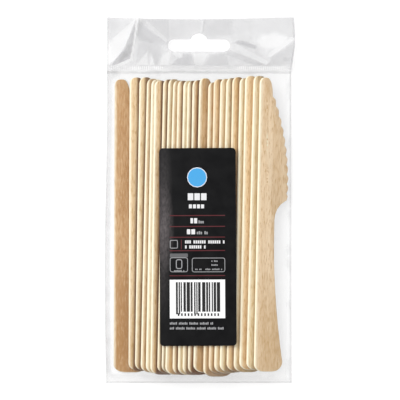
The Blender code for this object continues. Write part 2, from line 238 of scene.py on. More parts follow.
grainLook = {
    # Each layer: how often it changes across, along and through the wood, its detail and its roughness
    "bands": ((260, 7, 260), 3.0, 0.55),
    "fibres": ((1700, 45, 1700), 4.0, 0.65),
    "flecks": ((1500, 260, 1500), 2.0, 0.55),
    "clouds": ((75, 22, 75), 2.0, 0.55),
    "blotches": ((700, 150, 700), 2.0, 0.55),
    "streakDepth": 0.5,
    "blotchDepths": (-0.10, 0.16),
    "speckStrength": 0.4,
    "speckPaleness": 0.3,
    "dotStrength": 0.75,
    "spineDulled": 0.45,
    "gapShadeColour": (0.13, 0.055, 0.02, 1),
}


def grainLayer(group, place, name):
    size, detail, roughness = grainLook[name]
    return noiseNode(group, stretched(group, place, size), 1.0, detail, roughness)


def makeGrainGroup():
    look = grainLook
    group, given, out = startGroup(
        "birchGrain",
        [("Place", "NodeSocketVector", None), ("Face", "NodeSocketColor", (0.8, 0.6, 0.4, 1)),
         ("Streak", "NodeSocketColor", (0.5, 0.3, 0.2, 1)), ("Spine", "NodeSocketColor", (0.9, 0.8, 0.6, 1)),
         ("Rim", "NodeSocketFloat", 0.0), ("Mottle", "NodeSocketFloat", 0.3),
         ("Darkening", "NodeSocketFloat", 0.0), ("GapShade", "NodeSocketFloat", 0.0)],
        [("Colour", "NodeSocketColor"), ("Roughness", "NodeSocketFloat"), ("Height", "NodeSocketFloat")],
    )
    place, face, streak, spine = [given.outputs[name] for name in ("Place", "Face", "Streak", "Spine")]
    layers = ("bands", "fibres", "flecks", "clouds", "blotches")
    bands, fibres, flecks, clouds, blotches = [grainLayer(group, place, name) for name in layers]
    wide = product(group, bands, 0.5)
    fine = product(group, fibres, 0.5)
    shade = rangeNode(group, mathNode(group, "ADD", wide, fine), 0.40, 0.64, 0.0, look["streakDepth"])
    patch = rangeNode(group, clouds, 0.45, 0.72, 0.0, 1.0)
    shade = mathNode(group, "ADD", shade, product(group, patch, given.outputs["Mottle"]))
    shade = mathNode(group, "ADD", shade, rangeNode(group, blotches, 0.35, 0.68, *look["blotchDepths"]))
    colour = mixColour(group, shade, face, streak)
    colour = mixColour(group, given.outputs["Darkening"], colour, streak)
    specks = rangeNode(group, flecks, 0.46, 0.30, 0.0, look["speckStrength"])
    colour = mixColour(group, specks, colour, mixColour(group, look["speckPaleness"], face, spine))
    dots = rangeNode(group, flecks, 0.53, 0.68, 0.0, look["dotStrength"])
    colour = mixColour(group, dots, colour, streak)
    dull = rangeNode(group, flecks, 0.45, 0.75, 0.0, look["spineDulled"])
    # rims take the pale spine colour: a lighter cut edge with a painted highlight
    colour = mixColour(group, given.outputs["Rim"], colour, mixColour(group, dull, spine, face))
    # painted shade in the gap beside the next knife
    colour = mixColour(group, given.outputs["GapShade"], colour, look["gapShadeColour"])
    plug(group, colour, out.inputs["Colour"])
    plug(group, rangeNode(group, fibres, 0.3, 0.7, 0.48, 0.66), out.inputs["Roughness"])
    height = mathNode(group, "ADD", fibres, product(group, flecks, -0.5))
    plug(group, height, out.inputs["Height"])
    return group


birchLook = {
    "bump": 0.05 * mm,
    "bumpStrength": 0.6,
    "rimRound": 0.5 * mm,
    "rimSegments": 3,
    "rimFrom": math.radians(60.0),
    "smoothBelow": math.radians(35.0),
    "longestEdge": 2.5 * mm,
    "sharpFrom": math.radians(38.0),
    "straightBelow": math.radians(0.15),
    "tint": (1.10, 1.06, 1.04),
    "palest": 0.98,
    "grainSteps": (0.031, 0.173, 0.011),  # how far the grain moves on from knife to knife
    "streakShares": (0.66, 0.528, 0.33),
    "spineColourAndHighlight": (1.0, 0.94, 0.73),
    "spineHighlightReach": 1.5 * mm,
    "spineHighlightStrength": 0.9,
    "coreReach": 1.5 * mm,  # the darkest part of the painted shade in the gap beside the next knife
    "coreStop": 0.2 * mm,
    "coreShare": 0.80,
    "shadeReach": 3.8 * mm,
    "shadeShare": 0.22,
    "waver": 0.5 * mm,
    "waverSize": (200, 35, 200),
    "veinDots": (150, 800, 150),
    "footDarkening": (0.6, 0.22),  # how much darker the feet of the knives on the left and on the right are
    "rightFrom": 10,  # the first of the knives on the right
    "footDarkeningRange": (-45 * mm, -80 * mm),
}

# The knives, left to right: red, green and blue of the face, mottle, how dark the painted shade in the gap
# beside the next knife is, and how pale the spine is, from its lighter cut edge and a painted highlight
knifeTones = (
    (0.54, 0.35, 0.172, 0.45, 0.10, 0.80), (0.81, 0.64, 0.40, 0.15, 0.90, 1.00),
    (0.80, 0.64, 0.40, 0.15, 0.80, 0.95), (0.86, 0.66, 0.41, 0.10, 0.45, 0.95),
    (0.92, 0.83, 0.65, 0.05, 0.15, 1.00), (0.84, 0.64, 0.39, 0.10, 0.95, 1.00),
    (0.86, 0.66, 0.38, 0.15, 0.85, 0.90), (0.94, 0.74, 0.46, 0.10, 0.55, 1.00),
    (0.86, 0.66, 0.40, 0.10, 0.45, 0.95), (0.88, 0.65, 0.38, 0.15, 0.85, 0.95),
    (0.95, 0.77, 0.49, 0.10, 0.35, 1.00), (0.92, 0.71, 0.43, 0.10, 0.85, 1.00),
    (0.66, 0.42, 0.20, 0.20, 0.95, 1.00), (0.68, 0.49, 0.275, 0.20, 0.35, 0.95),
    (0.66, 0.47, 0.27, 0.20, 0.40, 0.70), (0.80, 0.58, 0.33, 0.20, 0.55, 0.90),
    (0.80, 0.56, 0.30, 0.10, 0.65, 0.65), (0.92, 0.70, 0.43, 0.25, 0.50, 0.95),
    (0.95, 0.75, 0.48, 0.15, 0.70, 1.00), (0.86, 0.62, 0.34, 0.10, 0.65, 0.75),
    (0.94, 0.73, 0.45, 0.20, 0.45, 1.00), (0.91, 0.70, 0.44, 0.10, 0.20, 0.95),
    (0.80, 0.60, 0.36, 0.15, 0.40, 0.85), (0.95, 0.75, 0.48, 0.15, 0.45, 1.00),
    (0.96, 0.72, 0.50, 0.10, 0.0, 0.95),
)

# Darker places: middle and reaches in mm from the pack's middle, and strength
stains = {
    1: ((-44.0, 30.0, 5.0, 26.0, 0.45), (-41.5, -10.0, 3.0, 40.0, 0.3), (-42.5, -72.0, 8.0, 60.0, 0.85)),
    10: ((-14.2, -84.5, 1.0, 3.4, 0.8),),
    14: ((2.2, 55.0, 2.6, 12.0, 0.25),),
    21: ((19.3, -83.6, 0.7, 1.7, 1.0),),
    25: ((39.5, -84.0, 14.0, 48.0, 0.55), (37.5, 60.0, 2.2, 6.0, 0.45), (42.5, 20.0, 3.0, 30.0, 0.15)),
}

# Dotted veins down a knife: middle, reaches and strength as above, and whether the vein is pale
veins = {
    25: (
        (36.6, 50.3, 0.6, 6.0, 0.9, False),
        (36.6, 32.0, 0.6, 8.0, 0.9, True),
        (36.6, 11.4, 0.6, 10.5, 0.9, False),
    ),
}


def birchFinish(number, turn, grain, ownLine, gapLine):
    look = birchLook
    tone = knifeTones[number - 1]
    face = [min(look["palest"], part * tint) for part, tint in zip(tone[:3], look["tint"])]
    material, tree, shader = startMaterial(f"birch{number:02d}", 0.6)
    where = objectPlace(tree)
    mapping = addNode(tree, "ShaderNodeMapping")
    mapping.inputs["Location"].default_value = [step * number for step in look["grainSteps"]]
    mapping.inputs["Rotation"].default_value = (0.0, 0.0, turn)
    plug(tree, where, mapping.inputs["Vector"])
    streak = [part * share for part, share in zip(face, look["streakShares"])]
    spine = [pale * tone[5] + part * (1.0 - tone[5]) for pale, part in zip(look["spineColourAndHighlight"], face)]
    wood = addNode(tree, "ShaderNodeGroup", node_tree=grain, Mottle=tone[3])
    for name, colour in (("Face", face), ("Streak", streak), ("Spine", spine)):
        wood.inputs[name].default_value = (*colour, 1)
    # spine and rims are paler for their cut edge and a painted highlight, which also spreads from the spine
    # onto the face
    spineHighlightSide = sideMask(tree, where, ownLine, look["spineHighlightReach"], 0.0)
    paintedSpineHighlight = product(tree, spineHighlightSide, look["spineHighlightStrength"])
    spineShare = mathNode(tree, "MAXIMUM", attributeNode(tree, "rim"), paintedSpineHighlight)
    plug(tree, mapping.outputs["Vector"], wood.inputs["Place"])
    if gapLine:
        plug(tree, paintedGapShade(tree, where, gapLine, tone[4]), wood.inputs["GapShade"])
    height = addNode(tree, "ShaderNodeSeparateXYZ")
    plug(tree, where, height.inputs[0])
    # darker towards the foot of each knife, with the darker places and dark veins added
    footDarkness = look["footDarkening"][0 if number < look["rightFrom"] else 1]
    darkening = rangeNode(tree, height.outputs["Y"], *look["footDarkeningRange"], 0.0, footDarkness)
    for spot in stains.get(number, ()):
        darkening = mathNode(tree, "MAXIMUM", darkening, spotMask(tree, where, spot))
    for *spot, isPale in veins.get(number, ()):
        mark = veinMask(tree, where, spot)
        if isPale:
            spineShare = mathNode(tree, "MAXIMUM", spineShare, mark)
        else:
            darkening = mathNode(tree, "MAXIMUM", darkening, mark)
    plug(tree, spineShare, wood.inputs["Rim"])
    plug(tree, darkening, wood.inputs["Darkening"])
    plug(tree, wood.outputs["Colour"], shader.inputs["Base Color"])
    plug(tree, wood.outputs["Roughness"], shader.inputs["Roughness"])
    addBump(tree, shader, wood.outputs["Height"], look)
    return material


def veinMask(tree, where, spot):  # a soft oval broken up into dots
    beads = noiseNode(tree, stretched(tree, where, birchLook["veinDots"]), 1.0, 1.0)
    dotted = rangeNode(tree, beads, 0.47, 0.53, 0.0, 1.0)
    return product(tree, spotMask(tree, where, spot), dotted)


def sideMask(tree, where, line, low, high):  # from 0 to 1 between two distances to the right of a line
    point, along = line
    across = Vector((along.y, -along.x, 0)).normalized()
    side = addNode(tree, "ShaderNodeVectorMath", operation="DOT_PRODUCT")
    plug(tree, where, side.inputs[0])
    side.inputs[1].default_value = across
    waver = noiseNode(tree, stretched(tree, where, birchLook["waverSize"]), 1.0)
    waver = product(tree, rangeNode(tree, waver, 0.3, 0.7, -0.5, 0.5), birchLook["waver"])
    place = mathNode(tree, "ADD", side.outputs["Value"], waver)
    middle = across.dot(point)
    return rangeNode(tree, place, middle + low, middle + high, 0.0, 1.0)


def paintedGapShade(tree, where, gapLine, strength):  # painted shade: darkens towards the next knife's spine, most of all in the gap beside it
    look = birchLook
    shade = sideMask(tree, where, gapLine, -look["shadeReach"], 0.0)
    core = sideMask(tree, where, gapLine, -look["coreReach"], -look["coreStop"])
    soft = product(tree, shade, look["shadeShare"])
    dark = product(tree, core, look["coreShare"])
    return product(tree, mathNode(tree, "ADD", soft, dark), strength)


def plateOf(node):  # the top outline of a knife's node, its thickness and its upward normal
    shape = bmesh.new()
    shape.from_mesh(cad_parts[node].data)
    bmesh.ops.remove_doubles(shape, verts=shape.verts, dist=tiny)
    bmesh.ops.dissolve_limit(shape, angle_limit=math.radians(0.3), verts=shape.verts, edges=shape.edges)
    big = sorted(shape.faces, key=lambda face: face.calc_area())[-2:]
    top = max(big, key=lambda face: face.normal.z)
    under = min(big, key=lambda face: face.normal.z)
    up = top.normal.copy()
    outline = [corner.co.copy() for corner in top.verts]
    thickness = (outline[0] - under.verts[0].co).dot(up)
    shape.free()
    return outline, thickness, up


def spineOf(plate):  # the spine's lower edge, as a point and a direction towards the tip
    outline, thickness, up = plate
    ends = [(outline[k - 1], outline[k]) for k in range(len(outline))]
    low, high = sorted(max(ends, key=lambda pair: (pair[1] - pair[0]).length), key=lambda point: point.y)
    return low - up * thickness, (high - low).normalized()


def sideAt(line, y):  # how far right a spine's line lies at one height of the pack
    point, along = line
    return point.x + along.x / along.y * (y - point.y)


def isSharp(before, corner, after):
    return (corner - before).angle(after - corner) > birchLook["sharpFrom"]


def smoothOutline(points):  # curves through every point, with the corners between the teeth kept
    count = len(points)
    sharp = [isSharp(points[k - 1], points[k], points[(k + 1) % count]) for k in range(count)]
    line = []
    for k in range(count):
        after = points[(k + 1) % count]
        pieces = max(1, math.ceil((after - points[k]).length / birchLook["longestEdge"]))
        for step in range(pieces):
            line.append((points[k].lerp(after, step / pieces), sharp[k] and step == 0))
    for turn in range(2):
        finer = []
        for k, (point, fixed) in enumerate(line):
            after, afterFixed = line[(k + 1) % len(line)]
            before = 2 * point - after if fixed else line[k - 1][0]
            beyond = 2 * after - point if afterFixed else line[(k + 2) % len(line)][0]
            finer.append((point, fixed))
            finer.append(((9 * (point + after) - before - beyond) / 16, False))
        line = finer
    return [point for point, fixed in line]


def makeKnife(number, grain):
    name = f"birch_knife_{number:02d}"
    outline, thickness, up = plates[number]
    ownLine = spineOf(plates[number])
    along = ownLine[1]
    shape = bmesh.new()
    face = shape.faces.new([shape.verts.new(point) for point in smoothOutline(outline)])
    face.normal_update()
    if face.normal.dot(up) < 0:
        face.normal_flip()
    straight = birchLook["straightBelow"]
    bmesh.ops.dissolve_limit(shape, angle_limit=straight, verts=shape.verts, edges=shape.edges)
    mesh = bpy.data.meshes.new(name)
    shape.to_mesh(mesh)
    shape.free()
    knife = newPiece(name, mesh)
    thicken(knife, thickness)
    rims = knife.modifiers.new("rims", "BEVEL")
    rims.width = birchLook["rimRound"]
    rims.segments = birchLook["rimSegments"]
    rims.limit_method = "ANGLE"
    rims.angle_limit = birchLook["rimFrom"]
    applyAll(knife)
    bpy.ops.object.shade_smooth_by_angle(angle=birchLook["smoothBelow"])
    marks = knife.data.attributes.new("rim", "FLOAT", "FACE")
    for polygon in knife.data.polygons:
        marks.data[polygon.index].value = 1.0 if abs(polygon.normal.dot(up)) < 0.9 else 0.0
    nextSpines = [spineOf(plates[other]) for other in (number + 1, number + 2) if other in plates]
    gapLine = min(nextSpines, key=lambda line: sideAt(line, 0.0), default=None)
    ownLine = (ownLine[0] + up * thickness, along)
    turn = math.atan2(along.x, along.y)
    knife.data.materials.append(birchFinish(number, turn, grain, ownLine, gapLine))
    onPack(knife, "birch_end" if number == 1 else "birch", f"knife_{number:02d}")
    return knife


plates = {number: plateOf(f"knife_{number:02d}") for number in range(1, len(knifeTones) + 1)}
grainGroup = makeGrainGroup()
knives = [makeKnife(number, grainGroup) for number in plates]
print("knives made,", sum(len(knife.data.polygons) for knife in knives), "faces")


# Film bag

filmLook = {
    "columns": 170,
    "pouchStep": 2.6 * mm,
    "stripStep": 0.55 * mm,
    "weldTop": 26.6 * mm,  # from the top edge down to the weld
    "weldHeight": 2.6 * mm,
    "edgeWander": 2.6 * mm,  # most that a side edge leaves the bag's box
    "edgeStep": 0.5 * mm,  # rows at the foot and under the weld
    "edgeRows": 4,
    "sideInset": 0.4 * mm,
    "footInset": 0.2 * mm,
    "lowest": 0.05 * mm,
    "topLift": 0.5 * mm,
    "sheetGap": 0.16 * mm,
    "wall": 0.05 * mm,
    "stripWave": 0.35 * mm,
    "fineWave": 0.10 * mm,
    "pouchWave": 0.12 * mm,
    "topDip": 0.9 * mm,
    "dipMiddle": 0.46,  # where the top edge dips most, as a share of the width
    "dipSlope": 2.2,
    "dipReach": 8 * mm,
    "slotFromTop": 15.4 * mm,
    "slotSide": -0.6 * mm,
    "slotReach": 13.55 * mm,
    "slotRadius": 3.3 * mm,
    "humpRadius": 4.8 * mm,
    "humpRise": 1.75 * mm,
    "stripTone": 233,
    "weldTone": 230,
    "weldMottle": 8.0,
    "marginTones": (237, 257),  # left and right
    "marginMottle": 7.0,
    "tipsTone": 258,
    "tipsUnder": (9.0, 5.0),  # in mm under the weld
    "tipsAside": (3 * mm, 8 * mm),
    "footTone": 251,
    "footRise": (5.0 * mm, 3.0 * mm),
    "weldShadow": 18.0,
    "foldShadow": 18.0,
    "footShadow": 22.0,
    "pouchHaze": 0.006,
    "grey": (0.535, 0.53, 0.55, 1),
    "pale": (0.95, 0.96, 0.98, 1),
    "roughness": (0.16, 0.30),
    "edgeCover": 0.12,
    "bump": 0.25 * mm,
    "bumpStrength": 0.35,
}

# How white the empty bag looks over a white table, from 0 to 255, and how much each of its walls covers
hazeForTone = (
    (197, 0.30), (204, 0.25), (212, 0.20), (221, 0.16), (230, 0.12), (238, 0.09), (247, 0.06), (254, 0.03),
    (256, 0.0),
)

# Creases of the hanging strip: both ends from the bag's middle and from the weld,
# their heights, and how wide the crease falls away on its left and on its right
creases = (
    ((-34.3, 27.0), (-41.0, 8.5), 2.4, 1.7, 9.0, 4.2),
    ((-41.0, 8.5), (-50.0, 0.0), 1.7, 0.8, 6.0, 3.2),
    ((-34.3, 27.0), (-17.7, 12.4), 1.5, 1.2, 4.0, 9.0),
    ((-28.5, 7.5), (-34.0, 0.0), 0.7, 0.9, 2.2, 2.6),
    ((-26.0, 6.5), (-25.5, 0.0), 0.5, 0.9, 2.0, 2.4),
    ((-16.5, 8.5), (-21.5, 0.0), 0.9, 0.9, 2.0, 5.5),
    ((-3.4, 7.5), (-3.0, 0.0), 0.7, 0.8, 0.9, 5.0),
    ((1.6, 26.0), (1.0, 20.5), 0.35, 0.2, 1.2, 1.8),
    ((16.5, 10.5), (36.5, 0.5), 0.9, 0.9, 2.4, 4.4),
    ((20.0, 12.5), (30.0, 9.5), 0.7, 0.3, 1.6, 1.4),
    ((17.5, 13.6), (22.5, 14.0), 0.3, 0.6, 1.4, 1.2),
    ((51.5, 12.8), (38.5, 4.4), 1.3, 0.9, 7.5, 6.0),
    ((38.5, 4.4), (35.5, 0.0), 0.9, 0.5, 3.0, 4.0),
    ((46.0, 22.0), (36.0, 15.5), 0.8, 1.0, 7.0, 9.0),
)

# Painted shading of the facets between the creases, each over the ones before it: tone, which stands for how
# the facet catches the light, softness of its edge, and its corners from the bag's middle and from the weld
stripFacetShading = (
    (230, 2.0, ((-51.0, 27.0), (-51.0, 20.0), (-37.0, 20.0), (-37.0, 27.0))),
    (228, 2.0, ((-17.0, 27.0), (-17.0, 15.0), (1.0, 15.0), (1.0, 27.0))),
    (224, 2.0, ((2.4, 27.0), (2.4, 16.3), (17.7, 16.3), (17.7, 27.0))),
    (233, 3.0, ((22.0, 27.0), (22.0, 19.5), (51.0, 19.5), (51.0, 27.0))),
    (250, 0.5, ((-35.0, 26.0), (-47.5, 15.3), (-50.3, 7.3), (-49.9, 0.35), (-45.4, 4.5), (-40.2, 12.1))),
    (208, 0.4, ((-34.7, 26.0), (-40.9, 10.1), (-37.8, 3.8), (-35.9, 13.9))),
    (201, 0.4, ((-40.9, 10.1), (-48.6, 0.0), (-43.0, 1.7), (-37.8, 3.8))),
    (207, 0.8, ((-33.6, 25.7), (-17.0, 12.0), (-23.2, 11.1), (-33.6, 13.9), (-34.7, 17.7))),
    (222, 0.5, ((-33.6, 25.9), (-27.7, 19.8), (-17.0, 12.2), (-17.0, 26.4))),
    (219, 1.2, ((-34.0, 13.4), (-20.5, 11.8), (-21.8, 0.4), (-35.0, 0.4))),
    (250, 0.8, ((-28.6, 8.0), (-35.4, 0.0), (-28.2, 0.0))),
    (250, 0.4, ((-26.6, 6.6), (-24.5, 0.35), (-27.3, 0.35))),
    (250, 0.8, ((-20.5, 6.5), (-16.0, 8.2), (-17.0, 0.0), (-22.4, 0.0))),
    (212, 0.9, ((-10.0, 6.6), (-3.1, 6.6), (-3.1, 0.0), (-15.6, 0.35))),
    (245, 0.5, ((-4.1, 6.9), (4.5, 6.9), (1.1, -0.3), (-2.8, -0.3))),
    (218, 0.8, ((5.2, 5.9), (14.2, 7.3), (15.6, 0.35), (1.8, -0.3))),
    (205, 0.6, ((18.1, 12.5), (20.8, 13.9), (24.0, 13.5), (30.9, 10.8), (30.2, 9.4))),
    (252, 1.6, ((30.9, 13.5), (34.0, 17.2), (41.0, 18.4), (47.5, 16.2), (48.2, 12.5), (44.0, 9.8),
                (37.0, 9.4), (32.5, 10.6))),
    (222, 0.8, ((38.9, 4.5), (51.4, 13.5), (50.7, 0.35), (37.8, 0.7))),
    (215, 0.8, ((45.5, 2.4), (45.5, 4.5), (50.7, 4.5), (50.7, 2.4))),
)

# Painted highlights and painted shade along the creases: tone, half its width, its softness, and its points
creaseHighlightsAndShade = (
    (250, 0.4, 0.4, (-34.2, 25.7), (-35.7, 13.9), (-37.5, 4.2)),
    (252, 0.6, 0.4, (-37.3, 3.6), (-44.8, 0.2)),
    (235, 0.5, 0.6, (-28.8, 23.6), (-18.4, 13.9)),
    (244, 0.8, 1.0, (-13.6, 7.0), (-11.0, 5.6)),
    (234, 0.3, 0.5, (1.7, 24.6), (0.6, 18.4)),
    (220, 0.3, 0.6, (2.5, 24.6), (1.6, 18.4)),
    (214, 1.0, 0.8, (15.6, 7.3), (33.0, 0.35)),
    (242, 0.9, 0.7, (20.5, 10.1), (35.8, 1.7)),
    (250, 0.9, 0.6, (38.0, 6.0), (50.4, 14.8)),
)

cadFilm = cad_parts["film_bag"].data
filmTree = treeOf("film_bag")
filmLow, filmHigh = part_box("film_bag")
stripLine = filmHigh.y - filmLook["weldTop"]
weldLine = stripLine - filmLook["weldHeight"]


def sideRows(sign):  # the bag's left or right edge at each row of the CAD film
    edge = filmLow.x if sign < 0 else filmHigh.x
    rows = []
    for vert in sorted(cadFilm.vertices, key=lambda vert: vert.co.y):
        if abs(vert.co.x - edge) > filmLook["edgeWander"]:
            continue
        if not rows or vert.co.y - rows[-1][0] > 0.1 * mm:
            rows.append([vert.co.y, vert.co.x])
        rows[-1][1] = max(rows[-1][1] * sign, vert.co.x * sign) * sign
    return rows


leftTable, rightTable = sideRows(-1), sideRows(1)


def sidesAt(y):
    return alongTable(leftTable, y)[0], alongTable(rightTable, y)[0]


def filmHit(x, y, fromAbove):
    start = Vector((x, y, 0.1 if fromAbove else -0.1))
    hit = filmTree.ray_cast(start, Vector((0, 0, -1.0 if fromAbove else 1.0)))[0]
    return None if hit is None else hit.z


def alongLine(points, x, y):  # how far a point lies from a line of points, all in one unit
    nearest = 1e6
    for (ax, ay), (bx, by) in zip(points, points[1:]):
        runX, runY = bx - ax, by - ay
        share = min(1.0, max(0.0, ((x - ax) * runX + (y - ay) * runY) / (runX * runX + runY * runY)))
        nearest = min(nearest, math.hypot(x - ax - share * runX, y - ay - share * runY))
    return nearest


def insideBy(corners, x, y):  # how far inside a convex shape a point lies, below zero outside it
    sides = list(zip(corners, corners[1:] + corners[:1]))
    turn = sum(ax * by - bx * ay for (ax, ay), (bx, by) in sides)
    least = 1e6
    for (ax, ay), (bx, by) in sides:
        away = ((bx - ax) * (y - ay) - (by - ay) * (x - ax)) / math.hypot(bx - ax, by - ay)
        least = min(least, math.copysign(1.0, turn) * away)
    return least


def creaseLift(x, y):
    total = 0.0
    for (ax, ay), (bx, by), startHeight, endHeight, leftFall, rightFall in creases:
        px, py = x / mm - ax, (y - stripLine) / mm - ay
        runX, runY = bx - ax, by - ay
        share = min(1.0, max(0.0, (px * runX + py * runY) / (runX * runX + runY * runY)))
        away = math.hypot(px - share * runX, py - share * runY)
        rightHand = px * -runY + py * runX < 0  # the run goes down the page, so its left is the page's right
        fall = leftFall if rightHand else rightFall
        total += (startHeight + (endHeight - startHeight) * share) * max(0.0, 1.0 - away / fall)
    return total * mm


def crumple(x, y, size, seed):
    return noise.noise(Vector((x / size, y / size, seed)))


def slotDistance(x, y):  # how far a point lies outside the euro slot
    look = filmLook
    x -= look["slotSide"]
    y -= filmHigh.y - look["slotFromTop"]
    ends = math.hypot(max(abs(x) - look["slotReach"], 0.0), y) - look["slotRadius"]
    hump = math.hypot(x, y - look["humpRise"]) - look["humpRadius"]
    return min(ends, hump)


def rowPlaces():
    look = filmLook
    rows, edgeStep = look["edgeRows"], look["edgeStep"]
    pouchTop = weldLine - rows * edgeStep
    places = [filmLow.y + step * edgeStep for step in range(rows)]
    pouch = pouchTop - places[-1]
    count = round(pouch / look["pouchStep"])
    places += [places[-1] + pouch * (step + 1) / count for step in range(count)]
    places += [pouchTop + step * edgeStep for step in range(1, rows + 1)]
    places += [weldLine + look["weldHeight"] * step / 3 for step in range(1, 4)]
    strip = filmHigh.y - stripLine
    count = round(strip / look["stripStep"])
    places += [stripLine + strip * (step + 1) / count for step in range(count)]
    return places


def filmPoint(share, y, isFront):
    look = filmLook
    left, right = sidesAt(y)
    x = left + (right - left) * share
    fromSide = min(x - left, right - x)
    if y >= weldLine - tiny:
        up = (y - weldLine) / (filmHigh.y - weldLine)
        middle = weldHeight * (1.0 - up) + look["topLift"] * up
        inStrip = smoothStep(stripLine, stripLine + 1.0 * mm, y)
        middle += inStrip * (creaseLift(x, y) + look["stripWave"] * crumple(x, y, 14 * mm, 3.1))
        middle += look["fineWave"] * crumple(x, y, 3.5 * mm, 7.7)
        front = middle + look["sheetGap"] / 2
        back = middle - look["sheetGap"] / 2
    else:
        inside = min(max(x, left + look["sideInset"]), right - look["sideInset"])
        above = max(y, filmLow.y + look["footInset"])
        front = filmHit(inside, above, True)
        back = filmHit(inside, above, False)
        slack = smoothStep(0.0, 4.0 * mm, front - back - 1.0 * mm)
        front += look["pouchWave"] * slack * crumple(x, y, 6 * mm, 1.3)
    if fromSide < tiny or y < filmLow.y + tiny:
        front = back = (front + back) / 2
    dip = look["topDip"] * (1.0 - min(1.0, abs(share - look["dipMiddle"]) * look["dipSlope"]) ** 2)
    y -= dip * smoothStep(filmHigh.y - look["dipReach"], filmHigh.y, y)
    return Vector((x, y, max(look["lowest"], front if isFront else back)))


def stripTone(x, y):  # tone of the hanging strip at a place in mm from the bag's middle and from the weld, with painted shade and highlights
    tone = filmLook["stripTone"] + 5.0 * crumple(x, y, 4.0, 5.5) + 5.0 * crumple(x, y, 1.6, 2.2)
    for facetTone, soft, corners in stripFacetShading:
        tone += (facetTone - tone) * smoothStep(-soft, soft, insideBy(corners, x, y))
    for lineTone, halfWidth, soft, *points in creaseHighlightsAndShade:
        tone += (lineTone - tone) * (1.0 - smoothStep(halfWidth, halfWidth + soft, alongLine(points, x, y)))
    return tone


def hazeAndPaintedShade(x, y):  # how much of the light each wall of the film keeps back, with painted shade, highlights and shadows, and how pale it is there
    look = filmLook
    left, right = sidesAt(y)
    fromSide = min(x - left, right - x)
    fromFoot = y - filmLow.y
    if y >= stripLine:
        tone = stripTone(x / mm, (y - stripLine) / mm)
    elif y >= weldLine:
        tone = look["weldTone"] + look["weldMottle"] * crumple(x, y, 5 * mm, 4.4)
    else:
        under = (weldLine - y) / mm
        wave = 0.9 + 0.4 * crumple(x, y, 9 * mm, 6.1)
        leftTone, rightTone = look["marginTones"]
        tone = leftTone + (rightTone - leftTone) * (x - left) / (right - left)
        tips = smoothStep(*look["tipsUnder"], under) * smoothStep(*look["tipsAside"], x - left)
        tone += (look["tipsTone"] - tone) * tips
        tone += look["marginMottle"] * crumple(x, y, 5 * mm, 8.3)
        tone -= look["weldShadow"] * math.exp(-((under - wave) / 0.6) ** 2)
        tone += (look["footTone"] - tone) * smoothStep(*look["footRise"], fromFoot)
    tone -= look["foldShadow"] * math.exp(-((fromSide - 0.4 * mm) / (0.5 * mm)) ** 2)
    tone -= look["footShadow"] * smoothStep(1.0 * mm, 0.3 * mm, fromFoot)
    cover = alongTable(hazeForTone, tone)[0]
    overWood = smoothStep(1.5 * mm, 4.5 * mm, fromSide) * smoothStep(4.0 * mm, 7.0 * mm, fromFoot)
    overWood *= smoothStep(weldLine - 3.0 * mm, weldLine - 6.0 * mm, y)
    return cover + (look["pouchHaze"] - cover) * overWood, overWood


def filmSheet(name, isFront):
    places = rowPlaces()
    columns = filmLook["columns"]
    bpy.ops.mesh.primitive_grid_add(x_subdivisions=columns, y_subdivisions=len(places) - 1, size=1)
    sheet = bpy.context.object
    sheet.name = name
    covers = sheet.data.attributes.new("hazeAndPaintedShade", "FLOAT", "POINT")
    paleness = sheet.data.attributes.new("pale", "FLOAT", "POINT")
    for vert in sheet.data.vertices:
        row = round((vert.co.y + 0.5) * (len(places) - 1))
        vert.co = filmPoint(vert.co.x + 0.5, places[row], isFront)
        covers.data[vert.index].value, paleness.data[vert.index].value = hazeAndPaintedShade(vert.co.x, vert.co.y)
    return sheet


def cutSlot(sheet):  # opens the euro slot and pulls its edge onto the outline
    shape = bmesh.new()
    shape.from_mesh(sheet.data)
    inside = [face for face in shape.faces if slotDistance(*face.calc_center_median().xy) < 0.0]
    bmesh.ops.delete(shape, geom=inside, context="FACES")
    step = 0.05 * mm
    for vert in shape.verts:
        away = slotDistance(vert.co.x, vert.co.y)
        if not vert.is_boundary or abs(away) > 2.0 * mm:
            continue
        slopeX = slotDistance(vert.co.x + step, vert.co.y) - slotDistance(vert.co.x - step, vert.co.y)
        slopeY = slotDistance(vert.co.x, vert.co.y + step) - slotDistance(vert.co.x, vert.co.y - step)
        length = math.hypot(slopeX, slopeY) or 1.0
        vert.co.x -= away * slopeX / length
        vert.co.y -= away * slopeY / length
    shape.to_mesh(sheet.data)
    shape.free()


def filmFinish():
    material, tree, shader = startMaterial("clearFilm", 0.2)
    where = objectPlace(tree)
    cloud = noiseNode(tree, where, 90.0, 3.0)
    plug(tree, rangeNode(tree, cloud, 0.3, 0.7, *filmLook["roughness"]), shader.inputs["Roughness"])
    tone = mixColour(tree, attributeNode(tree, "pale"), filmLook["grey"], filmLook["pale"])
    plug(tree, tone, shader.inputs["Base Color"])
    facing = addNode(tree, "ShaderNodeLayerWeight", Blend=0.25).outputs["Facing"]
    edge = product(tree, mathNode(tree, "POWER", facing, 2.0), filmLook["edgeCover"])
    uneven = rangeNode(tree, cloud, 0.3, 0.7, 0.9, 1.1)
    cover = product(tree, attributeNode(tree, "hazeAndPaintedShade"), uneven)
    plug(tree, mathNode(tree, "ADD", cover, edge), shader.inputs["Alpha"])
    addBump(tree, shader, noiseNode(tree, where, 420.0, 3.0), filmLook)
    return material


